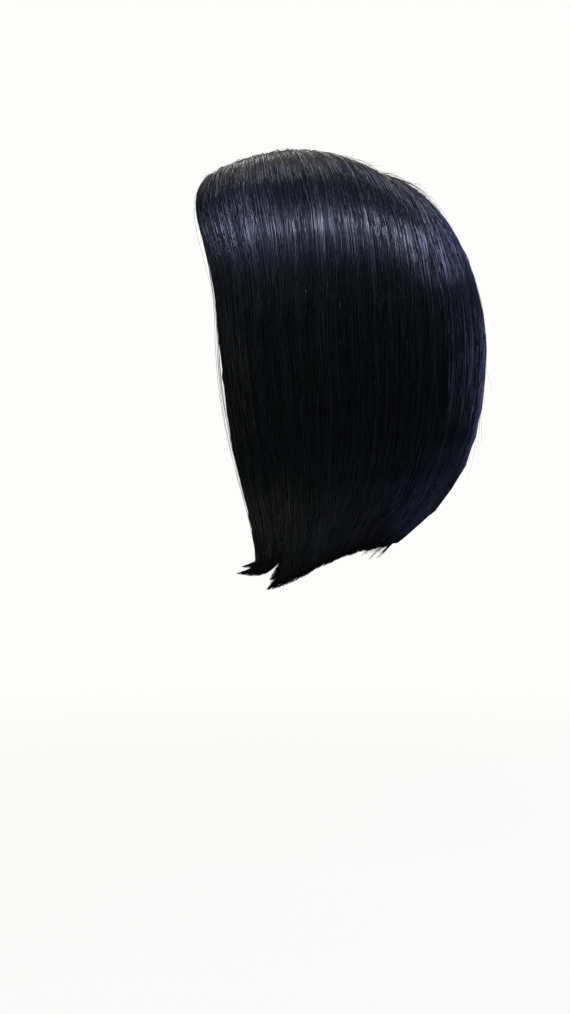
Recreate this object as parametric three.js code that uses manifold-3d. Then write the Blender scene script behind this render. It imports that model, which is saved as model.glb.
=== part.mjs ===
// A short bob wig with a lace parting: a net cap, a lace panel set into it, and straight hair that
// falls from the parting to both sides and from the crown down the back, tucked in at the ends.
// Millimetres, +Z up, the face towards -Y and the wearer's left towards +X.
// The origin is the inside of the cap's crown, where the top of the head sits.
import * as THREE from "three";
import { mergeVertices } from "three/addons/utils/BufferGeometryUtils.js";
import Module from "manifold-3d";

const wasm = await Module();
wasm.setup();

// The parting runs along the top from the front hairline to the crown.
const PART_FRONT_Y = -47;
const PART_BACK_Y = 49;
const PART_HALF_WIDTH = 2.5;
const PART_SHARE = 0.6; // the share of the hair, from the front edge, that is rooted along the parting
const PART_CROWDING = 1.15; // above 1, roots stand closer together towards the front

// The hair's top beside the parting is a shallow arch, highest over the origin.
const RIDGE_TOP_Z = 12;
const RIDGE_DROP = 13.5;
const RIDGE_REACH = 48;
const FURROW_DEPTH = 6.5; // how far the hair dips to its roots
const FURROW_HALF_WIDTH = 15;
const FRONT_LIFT = 15.5; // how far the front hair swells over the forehead
const FRONT_LIFT_SHARE = 0.32;
const FRONT_LIFT_LOW = 1.5; // above 1, the swell lies lower on the arc
const FRONT_LIFT_INSIDE = 0.4; // the share of the swell that the inner face has
const CROWN_ROUND = 2; // the power of the arc over the crown, 2 for an ellipse
const CROWN_FULL = 0.3; // what the sides of the crown add to that power, fading to the front and back
const CROWN_FULL_FORWARD = 0.55; // below 1, the fullest place lies further forward
const CROWN_FULL_POWER = 3; // higher, the fullness stays closer to that place

// Outlines of the hair's outer face, seen from above, from its widest line down to the ends.
// The front edge is the hair beside the face, and widest_y is where half_width is measured.
const LEVELS = [
  { z: -278, half_width: 65, widest_y: 12, back_y: 47, edge_x: 51, edge_y: -19 },
  { z: -248, half_width: 74.5, widest_y: 18.5, back_y: 77, edge_x: 57, edge_y: -23.5 },
  { z: -228, half_width: 81, widest_y: 24, back_y: 98.5, edge_x: 60, edge_y: -27.5 },
  { z: -205, half_width: 86.5, widest_y: 28.5, back_y: 115, edge_x: 62, edge_y: -33 },
  { z: -180, half_width: 90.5, widest_y: 31.5, back_y: 124.4, edge_x: 62.5, edge_y: -38 },
  { z: -155, half_width: 92.5, widest_y: 33, back_y: 129.6, edge_x: 62, edge_y: -42 },
  { z: -125, half_width: 93, widest_y: 33, back_y: 131.8, edge_x: 60, edge_y: -45 },
];
const WIDEST_Z = LEVELS.at(-1).z;

// Locks of one half of the head, from the front edge to the middle of the back. Share is the lock's
// part of the way round, tip_at where its point lies across it, sweep how far the point curls forward,
// gather how much less its sides curl, and notch how far the hem rises between it and the next lock.
const SIDE_LOCKS = [
  { share: 0.13, tip_z: -271, tip_at: 0.2, sweep: 16, gather: 0.6, notch: 9 },
  { share: 0.12, tip_z: -280, tip_at: 0.2, sweep: 13, gather: 0.55, notch: 1.5 },
  { share: 0.11, tip_z: -272, tip_at: 0.5, sweep: 5.5, gather: 0, notch: 1 },
  { share: 0.11, tip_z: -265, tip_at: 0.5, sweep: 4, gather: 0, notch: 1 },
  { share: 0.11, tip_z: -259, tip_at: 0.5, sweep: 2.5, gather: 0, notch: 1 },
  { share: 0.12, tip_z: -256, tip_at: 0.5, sweep: 1, gather: 0, notch: 1 },
];
const BACK_LOCKS = [
  { share: 0.11, tip_z: -254, tip_at: 0.5, sweep: 0, gather: 0, notch: 1 },
  { share: 0.1, tip_z: -252, tip_at: 0.5, sweep: 0, gather: 0, notch: 1 },
  { share: 0.09, tip_z: -250, tip_at: 0.5, sweep: 0, gather: 0, notch: 1 },
];
const HEM_POWER = 1.3; // above 1, the locks' points are rounded
const LOCK_RISE = 2.2; // how far a lock stands out from the valley beside it
const LOCK_COLUMNS = 5;
const SWEEP_FROM = 0.8; // where along its length a lock starts to curl forward
const SWEEP_POWER = 3; // higher, the curl is kept closer to the end
const RELIEF_FROM = 0.2; // where the locks start to stand out, from the root

// Thickness of the hair, and of the cap that it is sewn to.
const HAIR_TOP = 10.1;
const HAIR_SIDE = 16;
const HAIR_END = 3.5;
const EDGE_SHARE = 0.12; // the hair thins towards the front edge over this share
const EDGE_THIN = 0.35;
const CAP_WALL = 1.5;
const SEAT_GAP = 0.4;
const SEAM_GAP = 0.5;
const SEAM_STEP = 0.01; // the small step round the head over which a seam's stretch is measured
const WELD = 0.001; // corners closer than this become one
const SIMPLIFY = 0.01; // detail smaller than this is left out of a finished solid

// The cap's rim seen from the side, from the temple over the ear to the nape.
const RIM_TEMPLE = { y: -62, z: -62 };
const RIM_EAR = { y: 18, z: -112 };
const RIM_NAPE = { y: 140, z: -150 };
const NAPE_TUCK = 0.14; // how fast the cap draws in below the widest line
const NAPE_DROPS = [18, 38]; // rows of the cap below the widest line
const CAP_COLUMNS = 22;
const RIM_SEGMENTS = 16;

// The lace panel fills a window in the cap round the parting.
const LACE_HALF_WIDTH = 12;
const LACE_PAST_PART = 7;
const LACE_GAP = 0.3;
const LACE_END_SEGMENTS = 8;

// Stations along a strand: distances from the root, then angles over the crown, then shares of the drop.
const ROOT_STEPS = [PART_HALF_WIDTH, 7, 14];
const CROWN_ANGLES = [20, 35, 50, 64, 77, 90];
const DROP_SHARES = [0.2, 0.4, 0.58, 0.74, 0.87, 0.95, 1];

const { clamp, lerp, smoothstep, degToRad } = THREE.MathUtils;

// A smooth curve through one column of the levels table.
function levelValue(column, z) {
  const last = LEVELS.length - 1;
  let i = LEVELS.findIndex((row) => row.z > z) - 1;
  if (i < 0) i = z < LEVELS[0].z ? 0 : last - 1;
  const slope = (k) => {
    const a = LEVELS[Math.max(k - 1, 0)];
    const b = LEVELS[Math.min(k + 1, last)];
    return (b[column] - a[column]) / (b.z - a.z);
  };
  const [low, high] = [LEVELS[i], LEVELS[i + 1]];
  const step = high.z - low.z;
  const u = clamp((z - low.z) / step, 0, 1);
  const rise = high[column] - low[column];
  const start = slope(i) * step;
  const end = slope(i + 1) * step;
  const bend = 3 * rise - 2 * start - end;
  const twist = start + end - 2 * rise;
  return low[column] + u * start + u ** 2 * bend + u ** 3 * twist;
}

// The hair's outline at one height: around is 0 at the front edge and 1 at the middle of the back.
function outline(around, z, inset) {
  const halfWidth = levelValue("half_width", z);
  const widestY = levelValue("widest_y", z);
  const edgeAngle = Math.asin(levelValue("edge_x", z) / halfWidth);
  const frontReach = (widestY - levelValue("edge_y", z)) / Math.cos(edgeAngle);
  const angle = lerp(edgeAngle, Math.PI, around);
  const reach = angle < Math.PI / 2 ? frontReach : levelValue("back_y", z) - widestY;
  const x = (halfWidth - inset) * Math.sin(angle);
  const y = widestY - (reach - inset) * Math.cos(angle);
  return new THREE.Vector3(x, y, z);
}

function rootOf(around) {
  const along = Math.min(around / PART_SHARE, 1) ** PART_CROWDING;
  const y = lerp(PART_FRONT_Y, PART_BACK_Y, along);
  return new THREE.Vector3(0, y, RIDGE_TOP_Z - RIDGE_DROP * (y / RIDGE_REACH) ** 2);
}

// The arc over the crown, from the parting at angle 0 to the widest line at a right angle.
function overCrown(around, angle, topInset, sideInset, lift) {
  const root = rootOf(around);
  const side = outline(around, WIDEST_Z, sideInset);
  const out = Math.sin(angle);
  const fullest = Math.sin(Math.PI * around ** CROWN_FULL_FORWARD) ** CROWN_FULL_POWER;
  const power = CROWN_ROUND + CROWN_FULL * fullest;
  const up = (1 - out ** power) ** (1 / power);
  const forward = 1 - smoothstep(around, 0, FRONT_LIFT_SHARE);
  const swell = lift * forward * Math.sin(Math.PI * out ** FRONT_LIFT_LOW);
  return new THREE.Vector3(
    side.x * out,
    lerp(root.y, side.y, out) - swell,
    lerp(WIDEST_Z, root.z - topInset, up),
  );
}

const HALF_LOCKS = [...SIDE_LOCKS, ...BACK_LOCKS];
const SIDE_SHARE = SIDE_LOCKS.reduce((sum, lock) => sum + lock.share, 0);

// Which lock a place round the head is in, and how far across that lock it lies.
function lockAt(around) {
  let start = 0;
  for (const [index, lock] of HALF_LOCKS.entries()) {
    if (around <= start + lock.share || index === HALF_LOCKS.length - 1) {
      return { index, lock, across: clamp((around - start) / lock.share, 0, 1) };
    }
    start += lock.share;
  }
}

// Of a place round the head: its lock, the lock beside that on this side of the point, and how far
// from the point it lies, 0 there and 1 at the lock's edge.
function offTip(around) {
  const { index, lock, across } = lockAt(around);
  const rising = across < lock.tip_at;
  const beside = HALF_LOCKS[index + (rising ? -1 : 1)] ?? lock;
  const off = rising ? 1 - across / lock.tip_at : (across - lock.tip_at) / (1 - lock.tip_at);
  return { lock, beside, off, notch: rising ? beside.notch : lock.notch };
}

// The height of the hem: each lock comes to a point, with a notch on either side.
function hemZ(around) {
  const { lock, beside, off, notch } = offTip(around);
  return lerp(lock.tip_z, (lock.tip_z + beside.tip_z) / 2 + notch, off ** HEM_POWER);
}

function sweepAt(around) {
  const { lock, beside, off } = offTip(around);
  const gathered = ({ sweep, gather }) => sweep * (1 - gather);
  return lerp(lock.sweep, (gathered(lock) + gathered(beside)) / 2, off);
}

// A point in the hair of the left half. Depth is 0 on the outer face and 1 on the inner one.
// The station is one of those listed above, as { out }, { angle } or { drop }.
function hairPoint(around, station, depth) {
  const { across } = lockAt(around);
  const thin = lerp(EDGE_THIN, 1, smoothstep(around, 0, EDGE_SHARE));
  const ridge = (1 - depth) * LOCK_RISE * (0.5 - (2 * across - 1) ** 2);
  if (station.drop === undefined) {
    const root = rootOf(around);
    const side = outline(around, WIDEST_Z, depth * HAIR_SIDE * thin);
    const span = Math.hypot(side.x - root.x, side.y - root.y);
    const angle = station.angle === undefined ? Math.asin(station.out / span) : degToRad(station.angle);
    const relief = ridge * smoothstep((angle / Math.PI) * 2 * (1 - RELIEF_FROM), RELIEF_FROM, 1);
    const sideInset = depth * HAIR_SIDE * thin - relief;
    const lift = FRONT_LIFT * lerp(1, FRONT_LIFT_INSIDE, depth);
    const point = overCrown(around, angle, depth * HAIR_TOP, sideInset, lift);
    const dip = 1 - smoothstep(span * Math.sin(angle), 0, FURROW_HALF_WIDTH);
    point.z -= (1 - depth) * FURROW_DEPTH * dip;
    return point;
  }
  const z = lerp(WIDEST_Z, hemZ(around), station.drop);
  const thickness = lerp(HAIR_SIDE * thin, HAIR_END, station.drop);
  const point = outline(around, z, depth * thickness - ridge);
  const curl = clamp((station.drop - SWEEP_FROM) / (1 - SWEEP_FROM), 0, 1);
  point.y -= sweepAt(around) * curl ** SWEEP_POWER;
  return point;
}

const STATIONS = [
  ...ROOT_STEPS.map((out) => ({ out })),
  ...CROWN_ANGLES.map((angle) => ({ angle })),
  ...DROP_SHARES.map((drop) => ({ drop })),
];

const mirrored = (point) => new THREE.Vector3(-point.x, point.y, point.z);

// A closed sheet between two grids of points that have the same columns and rows.
function closedSheet(outer, inner) {
  const columns = outer.length;
  const rows = outer[0].length;
  const points = [...outer.flat(), ...inner.flat()];
  const at = (face, column, row) => face * columns * rows + column * rows + row;
  const index = [];
  const quad = (a, b, c, d) => index.push(a, b, c, a, c, d);
  for (let i = 0; i < columns - 1; i++) {
    for (let j = 0; j < rows - 1; j++) {
      quad(at(0, i, j), at(0, i, j + 1), at(0, i + 1, j + 1), at(0, i + 1, j));
      quad(at(1, i, j), at(1, i + 1, j), at(1, i + 1, j + 1), at(1, i, j + 1));
    }
    quad(at(0, i, 0), at(0, i + 1, 0), at(1, i + 1, 0), at(1, i, 0));
    quad(at(0, i, rows - 1), at(1, i, rows - 1), at(1, i + 1, rows - 1), at(0, i + 1, rows - 1));
  }
  for (let j = 0; j < rows - 1; j++) {
    quad(at(0, 0, j), at(1, 0, j), at(1, 0, j + 1), at(0, 0, j + 1));
    quad(at(0, columns - 1, j), at(0, columns - 1, j + 1), at(1, columns - 1, j + 1), at(1, columns - 1, j));
  }
  return new THREE.BufferGeometry().setFromPoints(points).setIndex(index);
}

// Welds a geometry's shared corners, drops the faces that collapse, and makes it a solid.
function solidOf(geometry) {
  const bare = new THREE.BufferGeometry();
  bare.setAttribute("position", geometry.getAttribute("position"));
  bare.setIndex(geometry.index);
  const welded = mergeVertices(bare, WELD);
  const triVerts = [];
  for (let i = 0; i < welded.index.count; i += 3) {
    const [a, b, c] = welded.index.array.subarray(i, i + 3);
    if (a !== b && b !== c && c !== a) triVerts.push(a, b, c);
  }
  const vertProperties = welded.getAttribute("position").array;
  const mesh = new wasm.Mesh({ numProp: 3, vertProperties, triVerts: new Uint32Array(triVerts) });
  return new wasm.Manifold(mesh);
}

function geometryOf(solid) {
  const { vertProperties, triVerts } = solid.simplify(SIMPLIFY).getMesh();
  const geometry = new THREE.BufferGeometry();
  geometry.setAttribute("position", new THREE.BufferAttribute(vertProperties, 3));
  geometry.setIndex(new THREE.BufferAttribute(triVerts, 1));
  return geometry;
}

// Moves a panel's edge away from its neighbour by half the seam gap, measured where the point lies.
function seamPlace(around, station, depth, direction) {
  const here = hairPoint(around, station, depth);
  const stretch = here.distanceTo(hairPoint(around + direction * SEAM_STEP, station, depth)) / SEAM_STEP;
  return around + (direction * SEAM_GAP) / 2 / stretch;
}

// Places round the head where a run of locks has its columns.
function lockColumns(locks, start) {
  const places = [start];
  let from = start;
  for (const { share } of locks) {
    for (let k = 1; k <= LOCK_COLUMNS; k++) places.push(from + (share * k) / LOCK_COLUMNS);
    from += share;
  }
  return places;
}

function sidePanel() {
  const places = lockColumns(SIDE_LOCKS, 0);
  const face = (depth) =>
    places.map((around, i) =>
      STATIONS.map((station) => {
        const place = i === places.length - 1 ? seamPlace(around, station, depth, -1) : around;
        return hairPoint(place, station, depth);
      }),
    );
  return closedSheet(face(0), face(1));
}

function backPanel() {
  const places = lockColumns(BACK_LOCKS, SIDE_SHARE);
  const face = (depth) => {
    const left = places.map((around, i) =>
      STATIONS.map((station) => {
        const place = i === 0 ? seamPlace(around, station, depth, 1) : around;
        return hairPoint(Math.min(place, 1), station, depth);
      }),
    );
    const right = left.slice(0, -1).reverse();
    return [...left, ...right.map((column) => column.map(mirrored))];
  };
  return closedSheet(face(0), face(1));
}

// The whole dome of the cap before it is trimmed, with both halves welded along the parting.
function capDome() {
  const angles = [0, ...CROWN_ANGLES];
  const column = (around, inset) => {
    const top = HAIR_TOP + SEAT_GAP + inset;
    const side = HAIR_SIDE + SEAT_GAP + inset;
    const dome = angles.map((angle) => overCrown(around, degToRad(angle), top, side, 0));
    const nape = NAPE_DROPS.map((drop) => outline(around, WIDEST_Z - drop, side + drop * NAPE_TUCK));
    return [...dome, ...nape];
  };
  const face = (inset) => {
    const left = Array.from({ length: CAP_COLUMNS + 1 }, (_, i) => column(i / CAP_COLUMNS, inset));
    const right = left.slice(0, -1).reverse();
    return [...left, ...right.map((points) => points.map(mirrored))];
  };
  return solidOf(closedSheet(face(0), face(CAP_WALL)));
}

// A flat shape in the side view, stretched across the whole width.
function acrossSolid(shape, reach) {
  const steps = { depth: 2 * reach, bevelEnabled: false, curveSegments: RIM_SEGMENTS };
  const geometry = new THREE.ExtrudeGeometry(shape, steps);
  geometry.translate(0, 0, -reach);
  geometry.rotateY(Math.PI / 2);
  geometry.rotateX(Math.PI / 2);
  return solidOf(geometry);
}

// Everything below the rim line, for trimming the dome.
function belowRim() {
  const floor = LEVELS[0].z;
  const shape = new THREE.Shape();
  shape.moveTo(RIM_TEMPLE.y, floor);
  shape.lineTo(RIM_NAPE.y, floor);
  shape.lineTo(RIM_NAPE.y, RIM_NAPE.z);
  shape.quadraticCurveTo(RIM_EAR.y, RIM_EAR.z, RIM_TEMPLE.y, RIM_TEMPLE.z);
  return acrossSolid(shape, LEVELS.at(-1).half_width);
}

// An upright slab over the parting with a round end behind the crown.
function overParting(halfWidth) {
  const shape = new THREE.Shape();
  const endY = PART_BACK_Y + LACE_PAST_PART - LACE_HALF_WIDTH;
  const frontY = RIM_TEMPLE.y;
  shape.moveTo(-halfWidth, frontY);
  shape.lineTo(halfWidth, frontY);
  shape.lineTo(halfWidth, endY);
  shape.absarc(0, endY, halfWidth, 0, Math.PI);
  const height = RIDGE_TOP_Z - RIM_TEMPLE.z;
  const steps = { depth: height, bevelEnabled: false, curveSegments: LACE_END_SEGMENTS };
  const geometry = new THREE.ExtrudeGeometry(shape, steps);
  geometry.translate(0, 0, RIM_TEMPLE.z);
  return solidOf(geometry);
}

const looks = {
  net: new THREE.MeshStandardMaterial({ color: 0x1c1a1c, roughness: 0.9, metalness: 0 }),
  lace: new THREE.MeshStandardMaterial({ color: 0xb58a68, roughness: 0.85, metalness: 0 }),
  hair: new THREE.MeshStandardMaterial({ color: 0x0b0c12, roughness: 0.35, metalness: 0 }),
};

const wig = new THREE.Group();
wig.name = "short_lace_part_wig";

function addPiece(name, geometry, look) {
  const piece = new THREE.Mesh(geometry, looks[look]);
  piece.name = name;
  wig.add(piece);
}

const dome = capDome();
const trimmed = dome.subtract(belowRim());
addPiece("cap", geometryOf(trimmed.subtract(overParting(LACE_HALF_WIDTH + LACE_GAP))), "net");
addPiece("lace_part", geometryOf(trimmed.intersect(overParting(LACE_HALF_WIDTH))), "lace");

const left = solidOf(sidePanel());
addPiece("hair_left", geometryOf(left), "hair");
addPiece("hair_right", geometryOf(left.mirror([1, 0, 0])), "hair");
addPiece("hair_back", geometryOf(solidOf(backPanel())), "hair");

export default wig;
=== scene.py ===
# The look of a short black bob wig with a lace parting. Thousands of fine strands follow the form of
# the solids, over a close underlayer of the same hair, with a net cap and a lace panel inside.
# Sizes are millimetres in the part's own frame unless a comment says metres, and meshes are in metres.
import math
from collections import namedtuple

import bmesh
import bpy
import numpy as np
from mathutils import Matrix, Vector
from mathutils.bvhtree import BVHTree


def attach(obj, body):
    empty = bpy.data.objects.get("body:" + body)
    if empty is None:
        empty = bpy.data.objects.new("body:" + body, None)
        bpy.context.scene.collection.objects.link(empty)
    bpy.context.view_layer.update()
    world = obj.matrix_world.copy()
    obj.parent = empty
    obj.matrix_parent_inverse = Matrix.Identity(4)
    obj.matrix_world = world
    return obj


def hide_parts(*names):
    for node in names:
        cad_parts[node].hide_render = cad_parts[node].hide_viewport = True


MM = 0.001
SEED = 44

# The parting and the top of the hair beside it
PART_FRONT_Y = -47
PART_BACK_Y = 49
PART_HALF_WIDTH = 2.5
PART_SHARE = 0.6  # the share of the way round whose hair is rooted along the parting
PART_CROWDING = 1.15  # above 1, roots crowd towards the front
RIDGE_TOP_Z = 12
RIDGE_DROP = 13.5  # how far the top line falls over the reach
RIDGE_REACH = 48
FURROW_DEPTH = 6.5  # how deep the parting lies between both sides
FURROW_HALF_WIDTH = 15
FRONT_LIFT = 15.5  # how far the hair swells forward beside the front of the parting
FRONT_LIFT_SHARE = 0.32  # the share of the way round in which the swell fades
FRONT_LIFT_LOW = 1.5  # above 1, the swell sits lower
FRONT_LIFT_FADE = 0.6  # how much less the inner face swells
CROWN_ROUND = 2  # the power of the curve over the crown, 2 for an ellipse
CROWN_FULL = 0.3  # how much that power grows where the crown is fullest
CROWN_FULL_FORWARD = 0.55  # below 1, the fullest place lies further forward
CROWN_FULL_PEAK = 3  # how narrow that place is

# Outlines of the hair from above: z, half width, y of the widest place, y of the back,
# x and y of the front edge
LEVELS = np.array([
    [-278, 65, 12, 47, 51, -19],
    [-248, 74.5, 18.5, 77, 57, -23.5],
    [-228, 81, 24, 98.5, 60, -27.5],
    [-205, 86.5, 28.5, 115, 62, -33],
    [-180, 90.5, 31.5, 124.4, 62.5, -38],
    [-155, 92.5, 33, 129.6, 62, -42],
    [-125, 93, 33, 131.8, 60, -45],
])
WIDEST_Z = LEVELS[-1, 0]

# Locks from the front edge to the middle of the back: share of the way round, z of the tip, where
# the tip lies across the lock, how far its end sweeps forward, how late it starts to, how much of
# that sweep also lifts the end, how far the hem rises after the lock, how suddenly it rises, and
# how much less the lock's sides sweep than its tip
LOCK_COLUMNS = ("share", "tip_z", "tip_at", "sweep", "late", "lift", "notch", "sudden", "gather")
LOCKS = np.array([
    (0.155, -275, 0.12, 19, 4.4, 0.25, 13, 4.0, 0.7),
    (0.110, -281, 0.15, 14, 2.6, 0.0, 1.5, 1.6, 0.6),
    (0.095, -272, 0.5, 5.5, 3.0, 0.0, 0.5, 1.3, 0.0),
    (0.110, -265, 0.5, 4, 3.0, 0.0, 0.5, 1.3, 0.0),
    (0.110, -259, 0.5, 2.5, 3.0, 0.0, 1, 1.3, 0.0),
    (0.120, -256, 0.5, 1, 3.0, 0.0, 1, 1.3, 0.0),
    (0.110, -254, 0.5, 0, 3.0, 0.0, 1, 1.3, 0.0),
    (0.100, -252, 0.5, 0, 3.0, 0.0, 1, 1.3, 0.0),
    (0.090, -250, 0.5, 0, 3.0, 0.0, 1, 1.3, 0.0),
], dtype=[(name, float) for name in LOCK_COLUMNS])
LOCK_ENDS = np.cumsum(LOCKS["share"])
LOCK_RISE = 1.0  # from the valley between two locks to the top of one
LOCK_GROWTH = (0.15, 0.6)  # where along the hair the locks begin to stand out and where they are full
EDGE_NOTCH = 1.5  # how far the hem rises from the first tip to the front edge
SWEEP_FROM = 0.8  # the share of the drop after which the ends sweep forward
CURL_MOST = 1.2  # hairs longer than the hem sweep on to this

# Panels of the hair, with the places round the wig between which each lies
SIDE_SHARE = 0.7
PANELS = [
    ("hair_left", 0, SIDE_SHARE),
    ("hair_back", SIDE_SHARE, 2 - SIDE_SHARE),
    ("hair_right", 2 - SIDE_SHARE, 2),
]

# Thickness of the hair and the cap
HAIR_TOP = 10.1
HAIR_SIDE = 16
HAIR_END = 3.5
EDGE_SHARE = 0.12  # the share of the way round in which the hair thins towards the front edge
EDGE_THIN = 0.35  # what is left of the thickness there
SEAT_GAP = 0.4

# A strand's way: the crown takes this share of its length, the drop the rest
CROWN_LENGTH = 0.55

# Strands: stations along them, closest where the shine bends, numbers and thickness
STATIONS = np.array([
    0, 0.012, 0.03, 0.055, 0.08, 0.105, 0.13, 0.155, 0.18, 0.205, 0.23, 0.255, 0.28, 0.31,
    0.35, 0.4, 0.47, 0.54, 0.61, 0.68, 0.75, 0.82, 0.88, 0.93, 0.965, 0.985, 1,
])
INNER_STATIONS = np.array([0.45, 0.65, 0.86, 0.945, 0.98, 1])
OUTER_STRANDS = 1260  # in each panel
INNER_STRANDS = 1500  # in each panel
STRAND_SIDES = 3
STRAND_RADIUS = 0.35
RADIUS_SPREAD = (0.6, 1.25)
ROOT_THIN = 0.6  # how thick a strand is at its root
ROOT_THICKENS = 0.1  # where along it a strand has its full thickness
TIP_THIN = 0.75  # how much thickness a strand loses at its tip
TIP_FROM = 0.94  # where along it a strand begins to lose it
CORE_Y = 30  # strands face away from an upright line here, between these heights
CORE_LOW, CORE_HIGH = -250, -70

# How strands lie: in clumps that gather downwards, with small waves, from roots in the lace
CLUMP_SHARE = 0.011  # the width of a clump as a share of the way round
CLUMP_MIDDLE = (0.25, 0.75)  # where the middle of a clump may lie across it
CLUMP_PULL = 0.4  # how far its strands close up towards that middle
CLUMP_HOLD = (0.3, 1)  # how much of that pull reaches a strand
CLUMP_FROM = 0.45  # where along the hair it begins
CLUMP_TONE = 0.25  # how much of a strand's tone it shares with its clump
FIBRE_TONE = 0.3  # how far the tones within one strand differ
WANDER = 0.0022  # sideways waves, as a share of the way round
WANDER_FULL = 0.4  # where along the hair they have their full width
WAVE_HEIGHT = 0.27  # waves in and out
WAVE_FULL = 0.1  # where along the hair they have their full height
WAVE_TURNS = (3, 13)  # least and most waves in the length of a strand
LENGTH_SPREAD = 0.009  # how much the lengths of strands differ
SHORT_AT_SIDE = 0.5  # the part of that for strands at the sides of a clump
SHORT_BY_CHANCE = 0.5  # the mean of what chance adds to it
SKIN_DEPTH = 0.04  # how deep, as a share of the thickness, outer strands may lie
SKIN_PROUD = 0.5  # how far they may stand in or out
INNER_DEPTHS = (0.02, 1)
INNER_CROWDING = 0.5  # below 1, inner strands crowd towards the inner face
ROOT_LENGTH = 0.025  # the share of its length in which a strand rises from the lace
ROOT_SPREAD = (0.4, 3.2)  # how far from the middle of the parting strands are rooted

# Single hairs: how many, first and last place, least and most start and length along the hair, least
# and most height, mean and spread of the sideways lean, whether the end stands free, and thickness
Loose = namedtuple("Loose", "count first last soon late short long low high lean spread free radius")
LOOSE_GROUPS = [
    Loose(360, 0.0, 1.0, 0.08, 0.55, 0.2, 0.45, 0.2, 0.8, 0, 0.012, False, 0.14),
    Loose(70, 0.0, 1.0, 0.08, 0.3, 0.3, 0.5, 0.0, 0.5, 0, 0.04, True, 0.16),
    Loose(44, 0.2, 1.0, 0.04, 0.12, 0.12, 0.25, 1.0, 3.5, 0, 0.03, False, 0.14),
    Loose(26, 0.5, 1.0, 0.04, 0.1, 0.06, 0.14, 2.0, 7.0, 0, 0.03, True, 0.14),
    Loose(90, 0.0, 0.16, 0.03, 0.3, 0.04, 0.1, 0.8, 3.2, -0.002, 0.006, True, 0.13),
    Loose(10, 0.0, 0.012, 0.3, 0.42, 0.5, 0.58, 0.0, 0.6, -0.014, 0.008, False, 0.2),
    Loose(8, 0.6, 1.0, 0.4, 0.75, 0.1, 0.2, 2.5, 8.0, 0, 0.02, True, 0.14),
    Loose(60, 0.05, 1.0, 0.8, 0.88, 0.12, 0.14, 0.3, 1.6, 0, 0.006, True, 0.14),
    Loose(70, 0.71, 0.8, 0.86, 0.88, 0.128, 0.154, 0.0, 0.6, -0.02, 0.006, True, 0.36),
]
LOOSE_POINTS = 12
LOOSE_BEND = 1.6  # above 1, a free end bends away late
LOOSE_BASE = 0.5  # how far every single hair stands off
LOOSE_RADIUS_SPREAD = (0.7, 1.2)
LOOSE_TIP = 0.4  # what is left of the thickness at the tip
LOOSE_TONES = (0, 0.4)

# The underlayer of hair lies this far inside the outer face, deeper at the roots, and ends short of
# the tips
UNDER_DEPTH = 1.2
UNDER_ROOT_DEPTH = 0.85  # as a share of the thickness
UNDER_ROOT_LENGTH = 0.08  # where along the hair that depth is gone
UNDER_INNER = 0.97  # the depth of its inner face
UNDER_END = 0.985
UNDER_TONES = (0, 0.4)
UNDER_COLUMNS = 90
UNDER_ROWS = 60

# Cap: its rim from the temple over the ear to the nape, as y and z
RIM_TEMPLE = (-62, -62)
RIM_EAR = (18, -112)
RIM_NAPE = (140, -150)
NAPE_TUCK = 0.14  # how far the cap draws in for each millimetre below its widest line
CAP_INSET = 0.6  # how far the cloth lies inside the outer face of the cap
CAP_CLOTH = 0.5
CAP_COLUMNS = 97
CAP_ROWS = 36
RIM_POINTS = 60
DOME_POINTS = 60
NAPE_DROP = 45  # how far below its widest line the cap is drawn before the rim cuts it
NAPE_POINTS = 30
HEM_RADIUS = 1.1
HEM_ROUNDS = 2

# Lace panel, with a round end at the back
LACE_HALF_WIDTH = 12
LACE_PAST_PART = 7
LACE_END_Y = PART_BACK_Y + LACE_PAST_PART - LACE_HALF_WIDTH  # the middle of the round end
LACE_GAP = 0.3  # to the window of the cap
LACE_MARGIN = 0.6  # how far the cloth stays inside the edge of its solid
LACE_CLOTH = 0.4
LACE_COLUMNS = 17
LACE_ROWS = 70
ABOVE_LACE = 0.1  # metres, a height clear above the solid

# Finish of the hair, by the tone of a strand from 0 to 1
HAIR_TONES = [
    (0, (0.005, 0.0058, 0.0054)),
    (0.6, (0.006, 0.0068, 0.0066)),
    (1, (0.008, 0.009, 0.0105)),
]
HAIR_IOR = 1.55
HAIR_ROUGHNESS = 0.32
HAIR_GLOSS = 0.18  # how strongly the fibre itself reflects
SHEEN_TINT = (0.76, 0.84, 1)  # the colour of that reflection
COAT_TONES = (0.4, 0.92)  # the tones between which a strand's clear coat grows
COAT_ROUGHNESS = 0.16
COAT_IOR = 1.68
WORN_LOW, WORN_HIGH = -215, -140  # the heights between which the coat of the ends dulls
WORN_COAT = 0.12  # what is left of the coat at the ends
RIPPLE_SCALE = 0.22  # ripples to a millimetre along a strand
RIPPLE_DETAIL = 1
RIPPLE_SPREAD = 900  # sets the ripples of one strand far from those of the next
RIPPLE_HEIGHT = 0.3
RIPPLE_RANGE = (0.5, 2.0)  # how strong the ripples are on the darkest and the palest strand

# Finish of the cloth, by the distance from a thread of its net
NET_TONES = [(0, (0.03, 0.029, 0.031)), (0.25, (0.008, 0.008, 0.009))]
NET_CELLS = 1.1  # to a millimetre
NET_RELIEF = 0.6
LACE_TONES = [(0, (0.5, 0.3, 0.18)), (0.22, (0.3, 0.16, 0.09))]
LACE_CELLS = 1.3
LACE_RELIEF = 0.4
CELLS_UNEVEN = 0.35
CLOTH_ROUGHNESS = 0.85
THREAD_HEIGHT = 0.3

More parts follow.
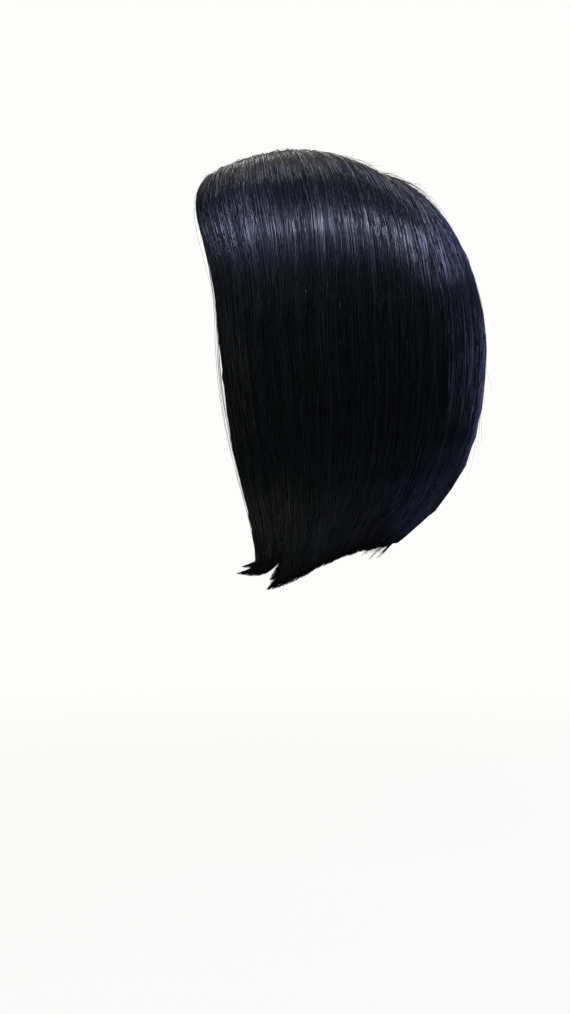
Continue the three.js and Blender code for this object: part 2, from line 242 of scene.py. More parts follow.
# Floor and background
FLOOR_Z = -490
FLOOR_REACH = 6  # metres
FLOOR_COLOUR = (0.5, 0.5, 0.46)
FLOOR_BOUNCE = (0.1, 0.1, 0.1)  # the colour that it throws back at the wig
FLOOR_GLOW = 0.93  # how much of the floor under the wig is an even glow without shadow
FLOOR_FADE = (0.1, 0.8)  # metres further off between which it becomes all glow
BACKGROUND = (0.985, 0.985, 0.965)
ROOM = (0.049, 0.051, 0.03)  # the light from all round

# Lamps, with their places, aims and sizes in metres and their power in watts
Lamp = namedtuple("Lamp", "name place aim size power colour")
LAMPS = [
    Lamp("overhead", (0.68, 0.15, 0.76), (0.07, 0.03, -0.05), (1.9, 0.22), 16.5, (0.69, 0.75, 1)),
    Lamp("overhead_right", (-0.68, 0.15, 0.76), (-0.07, 0.03, -0.05), (1.9, 0.22), 2.5, (0.85, 0.88, 1)),
    Lamp("behind", (-0.74, 0.03, 0.92), (0, 0.03, -0.03), (2.4, 0.7), 3.8, (1, 0.95, 0.78)),
    Lamp("top", (-0.2, 0.03, 1.15), (0, 0.03, 0), (2.0, 0.4), 6.3, (0.78, 0.76, 1)),
    Lamp("back_high", (0.05, 0.95, 0.62), (0.04, 0.09, -0.06), (0.6, 0.4), 2.2, (0.3, 0.32, 1)),
    Lamp("back_side", (0.25, 0.95, 0.58), (0.05, 0.08, -0.05), (0.6, 0.4), 2.7, (0.65, 0.67, 1)),
    Lamp("back_rim", (-0.32, 0.62, -0.2), (0.03, 0.1, -0.17), (0.72, 0.55), 3.6, (0.43, 0.46, 1)),
    Lamp("back_left", (0.12, 1.0, -0.08), (0.06, 0.1, -0.13), (0.4, 0.5), 0.9, (0.48, 0.53, 1)),
    Lamp("front_high", (0.35, -0.8, 0.54), (0.05, -0.03, -0.06), (0.6, 0.5), 5.4, (0.6, 0.62, 1)),
    Lamp("front_side", (0.3, -1.1, -0.2), (0.05, 0, -0.15), (0.8, 0.5), 0.5, (1, 0.96, 0.5)),
    Lamp("floor_front", (0.34, -0.32, -0.475), (0.05, -0.02, -0.26), (0.5, 0.2), 0.42, (1, 1, 0.66)),
    Lamp("floor_side", (0.4, 0.01, -0.475), (0.065, 0.01, -0.265), (0.3, 0.12), 0.06, (1, 0.92, 0.68)),
    Lamp("floor_nape", (0.14, 0.25, -0.475), (0.055, 0.065, -0.236), (0.26, 0.2), 0.31, (0.5, 0.55, 1)),
    Lamp("floor_back", (0.12, 0.32, -0.475), (0.04, 0.08, -0.22), (0.6, 0.4), 0.2, (0.55, 0.6, 1)),
]

# Camera, whose sensor spans the height of the picture
IMAGE_HEIGHT = 1014  # pixels
FOCAL_PIXELS = 1470
SENSOR = 36
CAMERA_PLACE = (1000, -3, -227.5)


def smooth(value, low, high):
    t = np.clip((value - low) / (high - low), 0, 1)
    return t * t * (3 - 2 * t)


def blend(a, b, t):
    return a + (b - a) * t


# Form of the hair
def slopes_of(rows):
    """Slopes at the rows of a table of heights and sizes, for a smooth curve through them."""
    index = np.arange(len(rows))
    below = rows[np.maximum(index - 1, 0)]
    above = rows[np.minimum(index + 1, len(rows) - 1)]
    return (above[:, 1:] - below[:, 1:]) / (above[:, :1] - below[:, :1])


LEVEL_SLOPES = slopes_of(LEVELS)


def level_sizes(z):
    z = np.clip(z, LEVELS[0, 0], LEVELS[-1, 0])
    i = np.clip(np.searchsorted(LEVELS[:, 0], z, "right") - 1, 0, len(LEVELS) - 2)
    step = (LEVELS[i + 1, 0] - LEVELS[i, 0])[..., None]
    u = (z - LEVELS[i, 0])[..., None] / step
    low = LEVELS[i, 1:]
    rise = LEVELS[i + 1, 1:] - low
    start = LEVEL_SLOPES[i] * step
    end = LEVEL_SLOPES[i + 1] * step
    sizes = low + u * start + u**2 * (3 * rise - 2 * start - end) + u**3 * (start + end - 2 * rise)
    return np.moveaxis(sizes, -1, 0)


def outline(around, z, inset):
    """Points on the hair's outline at height z; around is 0 at the front edge and 1 at the back."""
    half_width, widest_y, back_y, edge_x, edge_y = level_sizes(z)
    edge_angle = np.arcsin(edge_x / half_width)
    front_reach = (widest_y - edge_y) / np.cos(edge_angle)
    angle = blend(edge_angle, math.pi, around)
    reach = np.where(angle < math.pi / 2, front_reach, back_y - widest_y)
    x = (half_width - inset) * np.sin(angle)
    y = widest_y - (reach - inset) * np.cos(angle)
    return x, y


def widest_outline(around, inset):
    return outline(around, np.full(around.shape, float(WIDEST_Z)), inset)


def root_of(around):
    along = np.clip(around / PART_SHARE, 0, 1) ** PART_CROWDING
    y = blend(PART_FRONT_Y, PART_BACK_Y, along)
    return y, RIDGE_TOP_Z - RIDGE_DROP * (y / RIDGE_REACH) ** 2


def lock_at(around):
    index = np.clip(np.searchsorted(LOCK_ENDS, around), 0, len(LOCKS) - 1)
    start = LOCK_ENDS[index] - LOCKS["share"][index]
    return index, np.clip((around - start) / LOCKS["share"][index], 0, 1)


def off_tip(around):
    """A place's lock, the lock beside it on that side of its tip, and its distance from the tip."""
    index, across = lock_at(around)
    tip_at = LOCKS["tip_at"][index]
    beside = np.where(across < tip_at, index - 1, index + 1)
    off = np.where(across < tip_at, 1 - across / tip_at, (across - tip_at) / (1 - tip_at))
    return index, np.clip(beside, 0, len(LOCKS) - 1), off


def hem_z(around):
    index, beside, off = off_tip(around)
    notch = np.where(index == beside, EDGE_NOTCH, LOCKS["notch"][np.minimum(index, beside)])
    tip_z = LOCKS["tip_z"]
    valley = (tip_z[index] + tip_z[beside]) / 2 + notch
    return blend(tip_z[index], valley, off ** LOCKS["sudden"][index])


def between_locks(values, around):
    """A lock's value at its tip, fading to the mean of both locks at its edge."""
    index, beside, off = off_tip(around)
    return blend(values[index], (values[index] + values[beside]) / 2, off)


def sweep_at(around):
    index, beside, off = off_tip(around)
    gathered = LOCKS["sweep"] * (1 - LOCKS["gather"])
    side = (gathered[index] + gathered[beside]) / 2
    return blend(LOCKS["sweep"][index], side, off)


def over_crown(around, angle, top_inset, side_inset, lift):
    """Points on the way from the parting, at an angle of 0, to the widest outline, at a right angle."""
    root_y, root_z = root_of(around)
    side_x, side_y = widest_outline(around, side_inset)
    out = np.sin(angle)
    fullest = np.sin(math.pi * np.clip(around, 0, 1) ** CROWN_FULL_FORWARD) ** CROWN_FULL_PEAK
    power = CROWN_ROUND + CROWN_FULL * fullest
    up = np.clip(1 - out**power, 0, 1) ** (1 / power)
    swell = lift * (1 - smooth(around, 0, FRONT_LIFT_SHARE)) * np.sin(math.pi * out**FRONT_LIFT_LOW)
    z = blend(WIDEST_Z, root_z - top_inset, up)
    return np.stack([side_x * out, blend(root_y, side_y, out) - swell, z], -1)


def crown_points(around, along, depth, proud, start, thick, ridge):
    """Points of the left half from the roots to the widest outline, with the furrow of the parting."""
    root_y = root_of(around)[0]
    side_x, side_y = widest_outline(around, depth * thick)
    span = np.hypot(side_x, side_y - root_y)
    turn = np.clip(along / CROWN_LENGTH, 0, 1)
    angle = blend(np.arcsin(np.clip(start / span, 0, 1)), math.pi / 2, turn)
    side_inset = depth * thick - ridge - proud
    lift = FRONT_LIFT * (1 - FRONT_LIFT_FADE * depth)
    points = over_crown(around, angle, depth * HAIR_TOP - proud, side_inset, lift)
    dip = 1 - smooth(span * np.sin(angle), 0, FURROW_HALF_WIDTH)
    points[..., 2] -= (1 - depth) * FURROW_DEPTH * dip
    return points


def drop_points(around, along, depth, proud, thick, ridge):
    """Points of the left half below the widest outline, with the ends that sweep forward."""
    drop = np.maximum((along - CROWN_LENGTH) / (1 - CROWN_LENGTH), 0)
    z = blend(WIDEST_Z, hem_z(around), drop)
    thickness = blend(thick, HAIR_END, np.clip(drop, 0, 1))
    x, y = outline(around, z, depth * thickness - ridge - proud)
    curl = np.clip((drop - SWEEP_FROM) / (1 - SWEEP_FROM), 0, CURL_MOST)
    sweep = sweep_at(around) * curl ** between_locks(LOCKS["late"], around)
    lifted = z + sweep * between_locks(LOCKS["lift"], around)
    return np.stack([x, y - sweep, lifted], -1)


def hair_points(place, along, depth=0.0, proud=0.0, start=PART_HALF_WIDTH):
    """Points in the hair. Place runs from 0 at the left front edge over 1 at the back to 2 at the
    right front edge, along from 0 at the root to 1 at the hem, depth from 0 on the outer face to 1
    on the inner one, proud is how far a point stands out from there, and start is how far from the
    middle of the parting its hair is rooted."""
    place, along, depth, proud, start = np.broadcast_arrays(place, along, depth, proud, start)
    around = 1 - np.abs(1 - place)
    thick = HAIR_SIDE * blend(EDGE_THIN, 1, smooth(around, 0, EDGE_SHARE))
    across = lock_at(around)[1]
    ridge = (1 - depth) * LOCK_RISE * (0.5 - (2 * across - 1) ** 2) * smooth(along, *LOCK_GROWTH)
    crown = crown_points(around, along, depth, proud, start, thick, ridge)
    drop = drop_points(around, along, depth, proud, thick, ridge)
    points = np.where((along < CROWN_LENGTH)[..., None], crown, drop)
    points[..., 0] *= np.where(place > 1, -1, 1)
    return points


# Meshes
def add_piece(name, mesh, material, replaced=None):
    mesh.shade_smooth()
    mesh.materials.append(material)
    piece = bpy.data.objects.new(name, mesh)
    bpy.context.scene.collection.objects.link(piece)
    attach(piece, "root")
    if replaced:
        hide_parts(replaced)
    return piece


def add_values(piece, name, values):
    attribute = piece.data.attributes.new(name, "FLOAT", "POINT")
    attribute.data.foreach_set("value", np.asarray(values, np.float32).ravel())


def tube_parts(centre, radius):
    """Corners and faces of closed thin tubes, one for each row of centre points."""
    count, length = radius.shape
    sides = STRAND_SIDES
    tangent = np.gradient(centre, axis=1)
    core = np.stack([
        np.zeros(radius.shape),
        np.full(radius.shape, float(CORE_Y)),
        np.clip(centre[..., 2], CORE_LOW, CORE_HIGH),
    ], -1)
    side = np.cross(tangent, centre - core)
    side /= np.linalg.norm(side, axis=-1, keepdims=True)
    up = np.cross(side, tangent)
    up /= np.linalg.norm(up, axis=-1, keepdims=True)
    turns = math.pi / 2 + np.arange(sides) * 2 * math.pi / sides
    ring = np.cos(turns)[:, None] * side[:, :, None] + np.sin(turns)[:, None] * up[:, :, None]
    corners = centre[:, :, None] + radius[:, :, None, None] * ring
    base = (np.arange(count)[:, None] * length + np.arange(length - 1)[None]) * sides
    quads = []
    for s in range(sides):
        n = (s + 1) % sides
        quads.append(np.stack([base + s, base + sides + s, base + sides + n, base + n], -1).reshape(-1, 4))
    first = (np.arange(count) * length * sides)[:, None]
    last = first + (length - 1) * sides
    ends = np.concatenate([first + np.arange(sides), last + np.arange(sides)[::-1]])
    return corners, np.concatenate(quads).tolist() + ends.tolist()


def strand_piece(name, rng, centre, radius, tone, material):
    """Many strands joined in one mesh. Attributes give the tone, which differs across a strand as if
    it were a few fibres, the tone of the whole strand, and the way along it."""
    corners, faces = tube_parts(centre, radius)
    count, length = radius.shape
    fibres = np.clip(tone[:, None] + rng.normal(0, FIBRE_TONE, (count, STRAND_SIDES)), 0, 1)
    mesh = bpy.data.meshes.new(name)
    mesh.from_pydata((corners.reshape(-1, 3) * MM).tolist(), [], faces)
    piece = add_piece(name, mesh, material)
    step = np.linalg.norm(np.diff(centre, axis=1, prepend=centre[:, :1]), axis=-1)
    add_values(piece, "tone", np.repeat(fibres, length, axis=0))
    add_values(piece, "strand", np.repeat(tone, length * STRAND_SIDES))
    add_values(piece, "run", np.repeat(np.cumsum(step, axis=1), STRAND_SIDES))


# Strands
Clumps = namedtuple("Clumps", "middle tone turns phase")


def new_clumps(rng):
    """What the strands of a clump share, as numbers from 0 to 1 for each clump round the wig."""
    count = math.ceil(2 / CLUMP_SHARE) + 1
    return Clumps(*rng.random((count, len(Clumps._fields))).T)


def clump_of(root):
    return np.floor(root / CLUMP_SHARE).astype(int)


def root_places(rng, count, first, last):
    return first + (last - first) * (np.arange(count) + rng.random(count)) / count


def waves(rng, count, stations, height):
    turns = rng.uniform(*WAVE_TURNS, count)[:, None] * stations + rng.random(count)[:, None]
    return rng.laplace(0, height, count)[:, None] * np.sin(2 * math.pi * turns)


def clump_waves(clumps, root, stations):
    clump = clump_of(root)
    turns = blend(*WAVE_TURNS, clumps.turns[clump])[:, None] * stations + clumps.phase[clump][:, None]
    return WAVE_HEIGHT * np.sin(2 * math.pi * turns)


def grown_strands(rng, clumps, root, stations, depth, proud):
    """Centre lines of strands that gather into clumps on their way down."""
    count = len(root)
    clump = clump_of(root)
    middle = (clump + blend(*CLUMP_MIDDLE, clumps.middle[clump])) * CLUMP_SHARE
    hold = CLUMP_PULL * rng.uniform(*CLUMP_HOLD, count)[:, None]
    place = blend(root[:, None], middle[:, None], hold * smooth(stations, CLUMP_FROM, 1))
    place = place + waves(rng, count, stations, WANDER) * smooth(stations, 0, WANDER_FULL)
    off_middle = np.abs(root - middle) / CLUMP_SHARE
    chance = rng.exponential(SHORT_BY_CHANCE, count)
    short = LENGTH_SPREAD * (SHORT_AT_SIDE * off_middle + chance)[:, None]
    along = stations - short * smooth(stations, CROWN_LENGTH, 1)
    start = rng.uniform(*ROOT_SPREAD, count)[:, None]
    return hair_points(place, along, depth, proud, start)


def tones(rng, clumps, root):
    return blend(rng.random(len(root)), clumps.tone[clump_of(root)], CLUMP_TONE)


def tapered(rng, count, stations):
    thick = STRAND_RADIUS * rng.uniform(*RADIUS_SPREAD, count)
    from_root = blend(ROOT_THIN, 1, smooth(stations, 0, ROOT_THICKENS))
    to_tip = 1 - TIP_THIN * smooth(stations, TIP_FROM, 1)
    return thick[:, None] * (from_root * to_tip)[None]


def outer_strands(name, rng, clumps, first, last, material):
    count = OUTER_STRANDS
    root = root_places(rng, count, first, last)
    skin = rng.uniform(0, SKIN_DEPTH, count)[:, None]
    depth = blend(1, skin, smooth(STATIONS, 0, ROOT_LENGTH))
    wave = waves(rng, count, STATIONS, WAVE_HEIGHT) + clump_waves(clumps, root, STATIONS)
    stand = rng.uniform(-SKIN_PROUD, SKIN_PROUD, count)[:, None]
    proud = stand + wave * smooth(STATIONS, 0, WAVE_FULL)
    centre = grown_strands(rng, clumps, root, STATIONS, depth, proud)
    radius = tapered(rng, count, STATIONS)
    strand_piece(name, rng, centre, radius, tones(rng, clumps, root), material)


def inner_strands(name, rng, clumps, first, last, material):
    count = INNER_STRANDS
    root = root_places(rng, count, first, last)
    depth = rng.uniform(*INNER_DEPTHS, count)[:, None] ** INNER_CROWDING
    centre = grown_strands(rng, clumps, root, INNER_STATIONS, depth, 0.0)
    radius = tapered(rng, count, INNER_STATIONS)
    strand_piece(name, rng, centre, radius, tones(rng, clumps, root), material)


def loose_strands(rng, material):
    """Single hairs that stand off the rest, by the rows of their table, on both sides by turns."""
    u = np.linspace(0, 1, LOOSE_POINTS)
    centres, radii = [], []
    for row in LOOSE_GROUPS:
        root = rng.uniform(row.first, row.last, row.count)[:, None]
        start = rng.uniform(row.soon, row.late, row.count)[:, None]
        along = start + rng.uniform(row.short, row.long, row.count)[:, None] * u
        way = u**LOOSE_BEND if row.free else np.sin(math.pi * u)
        proud = LOOSE_BASE + rng.uniform(row.low, row.high, row.count)[:, None] * way
        place = root + rng.normal(row.lean, row.spread, row.count)[:, None] * way
        place = np.where(np.arange(row.count)[:, None] % 2 == 0, place, 2 - place)
        centres.append(hair_points(place, along, 0.0, proud))
        thick = row.radius * rng.uniform(*LOOSE_RADIUS_SPREAD, row.count)
        radii.append(thick[:, None] * np.linspace(1, LOOSE_TIP, LOOSE_POINTS))
    centre = np.concatenate(centres)
    tone = rng.uniform(*LOOSE_TONES, len(centre))
    strand_piece("hair_loose", rng, centre, np.concatenate(radii), tone, material)


# Sheets
def fill_grid(shell, points):
    """Adds a grid whose corners lie at the points, which are given by columns and rows."""
    columns, rows = points.shape[:2]
    grid = bmesh.ops.create_grid(shell, x_segments=columns - 1, y_segments=rows - 1)
    for vertex, place in zip(grid["verts"], points.swapaxes(0, 1).reshape(-1, 3)):
        vertex.co = place * MM


def shell_piece(name, shell, material, node):
    bmesh.ops.recalc_face_normals(shell, faces=shell.faces)
    mesh = bpy.data.meshes.new(name)
    shell.to_mesh(mesh)
    shell.free()
    return add_piece(name, mesh, material, node)


def underlayer(name, rng, first, last, material, node):
    """The body of one hair panel, closed between an outer and an inner grid."""
    columns = np.linspace(first, last, UNDER_COLUMNS)[:, None]
    rows = np.linspace(0, UNDER_END, UNDER_ROWS)[None]
    outer_depth = UNDER_ROOT_DEPTH * (1 - smooth(rows, 0, UNDER_ROOT_LENGTH))
    shell = bmesh.new()
    fill_grid(shell, hair_points(columns, rows, outer_depth, -UNDER_DEPTH))
    fill_grid(shell, hair_points(columns, rows, UNDER_INNER, 0.0))
    bmesh.ops.bridge_loops(shell, edges=[edge for edge in shell.edges if edge.is_boundary])
    piece = shell_piece(name, shell, material, node)
    streak = rng.uniform(*UNDER_TONES, UNDER_COLUMNS)
    add_values(piece, "tone", np.tile(streak, 2 * UNDER_ROWS))


def cloth_piece(name, points, wall, material, node):
    """Thin cloth of even thickness on a grid of points, with a UV map in millimetres across its
    columns and down its rows."""
    shell = bmesh.new()
    fill_grid(shell, points)
    across = np.cumsum(np.linalg.norm(np.diff(points, axis=0, prepend=points[:1]), axis=-1), axis=0)
    down = np.cumsum(np.linalg.norm(np.diff(points, axis=1, prepend=points[:, :1]), axis=-1), axis=1)
    flat = np.stack(np.broadcast_arrays(across.mean(axis=1)[:, None], down), -1)
    flat = flat.swapaxes(0, 1).reshape(-1, 2)
    shell.verts.index_update()
    uv = shell.loops.layers.uv.new("cloth")
    for face in shell.faces:
        for loop in face.loops:
            loop[uv].uv = flat[loop.vert.index]
    shell.normal_update()
    bmesh.ops.solidify(shell, geom=shell.faces[:], thickness=wall * MM)
    return shell_piece(name, shell, material, node)


# Cap and lace
def rim_height(y):
    t = np.linspace(0, 1, RIM_POINTS)[:, None]
    temple, ear, nape = np.array([RIM_TEMPLE, RIM_EAR, RIM_NAPE], float)
    curve = (1 - t) ** 2 * temple + 2 * t * (1 - t) * ear + t**2 * nape
    return np.interp(y, curve[:, 0], curve[:, 1])


def cap_way(around, inset):
    """A dense line down the cap from the parting, past its widest line to the nape."""
    top = HAIR_TOP + SEAT_GAP + inset
    side = HAIR_SIDE + SEAT_GAP + inset
    angle = np.linspace(0, math.pi / 2, DOME_POINTS)
    dome = over_crown(np.full(DOME_POINTS, around), angle, top, side, 0)
    drop = np.linspace(0, NAPE_DROP, NAPE_POINTS + 1)[1:]
    x, y = outline(np.full(NAPE_POINTS, around), WIDEST_Z - drop, side + drop * NAPE_TUCK)
    return np.concatenate([dome, np.stack([x, y, WIDEST_Z - drop], -1)])


def in_window(points):
    past = np.maximum(points[:, 1] - LACE_END_Y, 0)
    return np.hypot(points[:, 0], past) < LACE_HALF_WIDTH + LACE_GAP


def cap_column(place, inset):
    way = cap_way(1 - abs(1 - place), inset)
    way = way[~in_window(way) & (way[:, 2] > rim_height(way[:, 1]))]
    length = np.concatenate([[0], np.cumsum(np.linalg.norm(np.diff(way, axis=0), axis=1))])
    even = np.linspace(0, length[-1], CAP_ROWS)
    column = np.stack([np.interp(even, length, axis) for axis in way.T], -1)
    column[:, 0] *= -1 if place > 1 else 1
    return column


def round_hem(name, line):
    """A round hem along a line, with closed ends."""
    curve = bpy.data.curves.new(name, "CURVE")
    curve.dimensions = "3D"
    curve.bevel_depth = HEM_RADIUS * MM
    curve.bevel_resolution = HEM_ROUNDS
    curve.use_fill_caps = True
    spline = curve.splines.new("POLY")
    spline.points.add(len(line) - 1)
    for point, place in zip(spline.points, line):
        point.co = (*(place * MM), 1)
    holder = bpy.data.objects.new(name, curve)
    mesh = bpy.data.meshes.new_from_object(holder)
    bpy.data.objects.remove(holder)
    return mesh


def add_cap(material):
    places = np.linspace(0, 2, CAP_COLUMNS)
    columns = np.array([cap_column(place, CAP_INSET) for place in places])
    net = cloth_piece("cap_net", columns, CAP_CLOTH, material, "cap")
    edge = np.concatenate([columns[0], columns[1:-1, -1], columns[-1, ::-1]])
    hem = add_piece("cap_hem", round_hem("cap_hem", edge), material)


def add_lace(material, node):
    """The lace panel, laid on the top of its solid, with the bowed front edge of the cap."""
    tree = BVHTree.FromPolygons(
        [vertex.co.copy() for vertex in node.data.vertices],
        [tuple(polygon.vertices) for polygon in node.data.polygons],
    )
    front = cap_way(0, 0)[:DOME_POINTS]
    first_y = PART_FRONT_Y + LACE_MARGIN
    last_y = PART_BACK_Y + LACE_PAST_PART - LACE_MARGIN
    top = np.empty((LACE_COLUMNS, LACE_ROWS, 3))
    for j, t in enumerate(np.linspace(0, 1, LACE_ROWS)):
        row_y = blend(first_y, last_y, t)
        half = math.sqrt(LACE_HALF_WIDTH**2 - max(row_y - LACE_END_Y, 0) ** 2) - LACE_MARGIN
        for i, x in enumerate(np.linspace(half, -half, LACE_COLUMNS)):
            bow = np.interp(abs(x), front[:, 0], front[:, 1]) - PART_FRONT_Y
            y = row_y + (1 - t) * bow
            hit = tree.ray_cast(Vector((x * MM, y * MM, ABOVE_LACE)), Vector((0, 0, -1)))[0]
            top[i, j] = (x, y, hit.z / MM)
    panel = cloth_piece("lace_panel", top, LACE_CLOTH, material, "lace_part")


# Materials
def new_material(name):
    material = bpy.data.materials.new(name)
    material.use_nodes = True
    nodes, links = material.node_tree.nodes, material.node_tree.links
    return material, nodes, links, nodes["Principled BSDF"]


def ramp_of(nodes, stops):
    ramp = nodes.new("ShaderNodeValToRGB")
    elements = ramp.color_ramp.elements
    while len(elements) < len(stops):
        elements.new(1)
    for element, (at, colour) in zip(elements, stops):
        element.position = at
        element.color = (*colour, 1)
    return ramp


def attribute_of(nodes, name):
    node = nodes.new("ShaderNodeAttribute")
    node.attribute_name = name
    return node.outputs["Fac"]


def ranged(nodes, links, value, given=(0, 1), wanted=(0, 1), bend="LINEAR"):
    """A value mapped from one range to another, and kept inside it."""
    node = nodes.new("ShaderNodeMapRange")
    node.interpolation_type = bend
    node.inputs["From Min"].default_value, node.inputs["From Max"].default_value = given
    node.inputs["To Min"].default_value, node.inputs["To Max"].default_value = wanted
    links.new(value, node.inputs["Value"])
    return node.outputs["Result"]


def product(nodes, links, first, second):
    node = nodes.new("ShaderNodeMath")
    node.operation = "MULTIPLY"
    links.new(first, node.inputs[0])
    links.new(second, node.inputs[1])
    return node.outputs["Value"]


def bump_of(nodes, links, height, distance, strength=1):
    bump = nodes.new("ShaderNodeBump")
    bump.inputs["Strength"].default_value = strength
    bump.inputs["Distance"].default_value = distance * MM
    links.new(height, bump.inputs["Height"])
    return bump


def strand_ripples(nodes, links):
    """Heights that break up the gloss along a strand, in another way on each."""
    strand = attribute_of(nodes, "strand")
    place = nodes.new("ShaderNodeCombineXYZ")
    links.new(ranged(nodes, links, strand, wanted=(0, RIPPLE_SPREAD)), place.inputs["X"])
    links.new(attribute_of(nodes, "run"), place.inputs["Y"])
    ripple = nodes.new("ShaderNodeTexNoise")
    ripple.noise_dimensions = "2D"
    ripple.inputs["Scale"].default_value = RIPPLE_SCALE
    ripple.inputs["Detail"].default_value = RIPPLE_DETAIL
    links.new(place.outputs["Vector"], ripple.inputs["Vector"])
    strength = ranged(nodes, links, strand, wanted=RIPPLE_RANGE)
    return product(nodes, links, ripple.outputs["Fac"], strength)


def hair_material():
    """Dark glossy fibre, a little different in each strand, with a clear coat that dulls at the ends."""
    material, nodes, links, shader = new_material("navy_black_hair")
    shader.inputs["IOR"].default_value = HAIR_IOR
    shader.inputs["Roughness"].default_value = HAIR_ROUGHNESS
    shader.inputs["Specular IOR Level"].default_value = HAIR_GLOSS
    shader.inputs["Specular Tint"].default_value = (*SHEEN_TINT, 1)
    shader.inputs["Coat Roughness"].default_value = COAT_ROUGHNESS
    shader.inputs["Coat IOR"].default_value = COAT_IOR
    tone = attribute_of(nodes, "tone")
    colour = ramp_of(nodes, HAIR_TONES)
    links.new(tone, colour.inputs["Fac"])
    links.new(colour.outputs["Color"], shader.inputs["Base Color"])
    where = nodes.new("ShaderNodeTexCoord")
    axes = nodes.new("ShaderNodeSeparateXYZ")
    links.new(where.outputs["Object"], axes.inputs["Vector"])
    heights = (WORN_LOW * MM, WORN_HIGH * MM)
    kept = ranged(nodes, links, axes.outputs["Z"], heights, (WORN_COAT, 1), "SMOOTHSTEP")
    coat = ranged(nodes, links, tone, COAT_TONES)
    links.new(product(nodes, links, coat, kept), shader.inputs["Coat Weight"])
    bump = bump_of(nodes, links, strand_ripples(nodes, links), RIPPLE_HEIGHT)
    links.new(bump.outputs["Normal"], shader.inputs["Normal"])
    return material


def net_pattern():
    """A shader group for cloth that is an open net: the distance from its nearest thread."""
    group = bpy.data.node_groups.new("open_net", "ShaderNodeTree")
    group.interface.new_socket("Place", in_out="INPUT", socket_type="NodeSocketVector")
    group.interface.new_socket("Cells", in_out="INPUT", socket_type="NodeSocketFloat")
    group.interface.new_socket("From Thread", in_out="OUTPUT", socket_type="NodeSocketFloat")
    given = group.nodes.new("NodeGroupInput")
    result = group.nodes.new("NodeGroupOutput")
    cells = group.nodes.new("ShaderNodeTexVoronoi")
    cells.feature = "DISTANCE_TO_EDGE"
    cells.inputs["Randomness"].default_value = CELLS_UNEVEN
    group.links.new(given.outputs["Place"], cells.inputs["Vector"])
    group.links.new(given.outputs["Cells"], cells.inputs["Scale"])
    group.links.new(cells.outputs["Distance"], result.inputs["From Thread"])
    return group


def cloth_material(name, pattern, cells, stops, relief):
    """A fine matt net whose threads are coloured and stand up."""
    material, nodes, links, shader = new_material(name)
    shader.inputs["Roughness"].default_value = CLOTH_ROUGHNESS
    place = nodes.new("ShaderNodeUVMap")
    place.uv_map = "cloth"
    net = nodes.new("ShaderNodeGroup")
    net.node_tree = pattern
    net.inputs["Cells"].default_value = cells
    links.new(place.outputs["UV"], net.inputs["Place"])
    colour = ramp_of(nodes, stops)
    links.new(net.outputs["From Thread"], colour.inputs["Fac"])
    links.new(colour.outputs["Color"], shader.inputs["Base Color"])
    bump = bump_of(nodes, links, net.outputs["From Thread"], THREAD_HEIGHT, relief)
    bump.invert = True
    links.new(bump.outputs["Normal"], shader.inputs["Normal"])
    return material


# Stage
def floor_material():
    """Pale and even to the eye, with only a faint shadow, and dim to the light that it throws back."""
    material, nodes, links, shader = new_material("pale_floor")
    shader.inputs["Base Color"].default_value = (*FLOOR_COLOUR, 1)
    shader.inputs["Roughness"].default_value = 1
    shader.inputs["Specular IOR Level"].default_value = 0
    glow = nodes.new("ShaderNodeEmission")
    glow.inputs["Color"].default_value = (*BACKGROUND, 1)
    where = nodes.new("ShaderNodeTexCoord")
    length = nodes.new("ShaderNodeVectorMath")
    length.operation = "LENGTH"
    links.new(where.outputs["Object"], length.inputs[0])
    reach = [distance - FLOOR_Z * MM for distance in FLOOR_FADE]
    fade = ranged(nodes, links, length.outputs["Value"], reach, (FLOOR_GLOW, 1), "SMOOTHSTEP")
    seen = nodes.new("ShaderNodeMixShader")
    links.new(fade, seen.inputs["Fac"])
    links.new(shader.outputs["BSDF"], seen.inputs[1])
    links.new(glow.outputs["Emission"], seen.inputs[2])
    dim = nodes.new("ShaderNodeBsdfDiffuse")
    dim.inputs["Color"].default_value = (*FLOOR_BOUNCE, 1)
    path = nodes.new("ShaderNodeLightPath")
    both = nodes.new("ShaderNodeMixShader")
    links.new(path.outputs["Is Camera Ray"], both.inputs["Fac"])
    links.new(dim.outputs["BSDF"], both.inputs[1])
    links.new(seen.outputs["Shader"], both.inputs[2])
    links.new(both.outputs["Shader"], nodes["Material Output"].inputs["Surface"])
    return material


def add_floor():
    sheet = bmesh.new()
    bmesh.ops.create_grid(sheet, x_segments=1, y_segments=1, size=FLOOR_REACH)
    bmesh.ops.translate(sheet, verts=sheet.verts, vec=(0, 0, FLOOR_Z * MM))
    mesh = bpy.data.meshes.new("floor")
    sheet.to_mesh(mesh)
    sheet.free()
    mesh.materials.append(floor_material())
    floor = bpy.data.objects.new("floor", mesh)
    bpy.context.scene.collection.objects.link(floor)


def add_lamp(lamp):
    light = bpy.data.lights.new(lamp.name, "AREA")
    light.shape = "RECTANGLE"
    light.size, light.size_y = lamp.size
    light.energy = lamp.power
    light.color = lamp.colour
    holder = bpy.data.objects.new(lamp.name, light)
    bpy.context.scene.collection.objects.link(holder)
    holder.location = lamp.place
    holder.rotation_mode = "QUATERNION"
    holder.rotation_quaternion = (Vector(lamp.aim) - Vector(lamp.place)).to_track_quat("-Z", "Y")
    holder.visible_camera = False


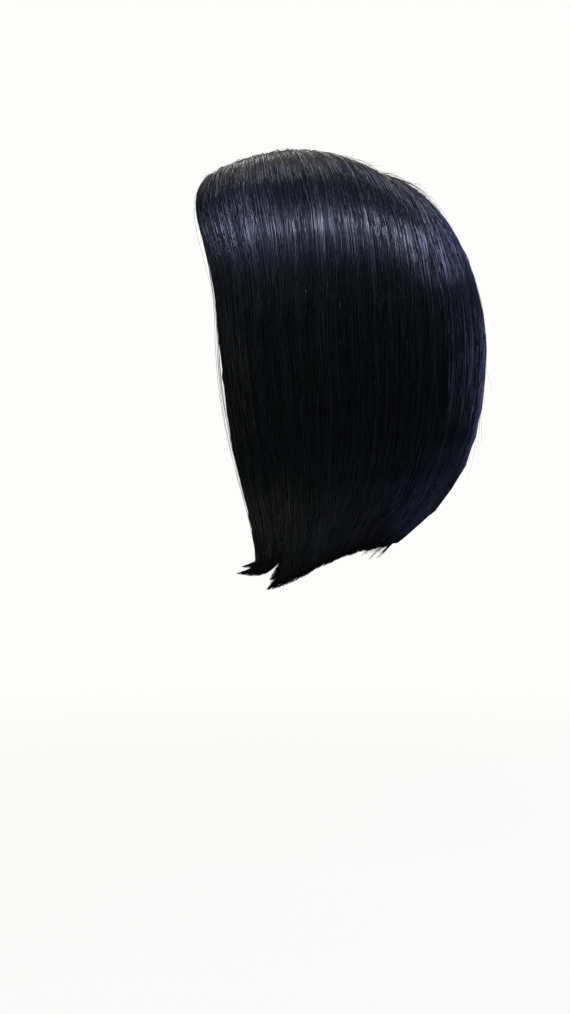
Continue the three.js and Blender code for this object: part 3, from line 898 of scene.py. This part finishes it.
def add_world():
    """A bright background to the eye, and a dim room to everything else."""
    world = bpy.data.worlds.new("studio")
    bpy.context.scene.world = world
    world.use_nodes = True
    nodes, links = world.node_tree.nodes, world.node_tree.links
    path = nodes.new("ShaderNodeLightPath")
    mix = nodes.new("ShaderNodeMix")
    mix.data_type = "RGBA"
    dark, bright = [socket for socket in mix.inputs if socket.type == "RGBA"]
    dark.default_value = (*ROOM, 1)
    bright.default_value = (*BACKGROUND, 1)
    links.new(path.outputs["Is Camera Ray"], mix.inputs["Factor"])
    result = [socket for socket in mix.outputs if socket.type == "RGBA"][0]
    links.new(result, nodes["Background"].inputs["Color"])


def add_camera():
    camera = bpy.data.cameras.new("camera")
    camera.sensor_width = SENSOR
    camera.lens = FOCAL_PIXELS / IMAGE_HEIGHT * SENSOR
    holder = bpy.data.objects.new("camera", camera)
    bpy.context.scene.collection.objects.link(holder)
    holder.location = [v * MM for v in CAMERA_PLACE]
    holder.rotation_euler = (math.pi / 2, 0, math.pi / 2)
    bpy.context.scene.camera = holder


# Making
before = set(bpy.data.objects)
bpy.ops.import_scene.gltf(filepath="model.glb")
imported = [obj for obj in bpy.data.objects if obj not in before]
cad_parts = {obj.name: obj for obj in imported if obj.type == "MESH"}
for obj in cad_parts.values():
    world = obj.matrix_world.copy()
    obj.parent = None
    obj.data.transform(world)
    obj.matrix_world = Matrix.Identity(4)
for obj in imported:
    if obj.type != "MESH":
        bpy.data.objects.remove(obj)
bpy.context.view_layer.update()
rng = np.random.default_rng(SEED)
hair = hair_material()
for panel, first, last in PANELS:
    underlayer(panel + "_under", rng, first, last, hair, panel)
clumps = new_clumps(rng)
for panel, first, last in PANELS:
    outer_strands(panel + "_strands", rng, clumps, first, last, hair)
for panel, first, last in PANELS:
    inner_strands(panel + "_inside", rng, clumps, first, last, hair)
loose_strands(rng, hair)
pattern = net_pattern()
add_cap(cloth_material("black_net", pattern, NET_CELLS, NET_TONES, NET_RELIEF))
lace = cloth_material("tan_lace", pattern, LACE_CELLS, LACE_TONES, LACE_RELIEF)
add_lace(lace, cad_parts["lace_part"])

add_floor()
add_world()
for lamp in LAMPS:
    add_lamp(lamp)
add_camera()
bpy.context.scene.view_settings.view_transform = "Standard"
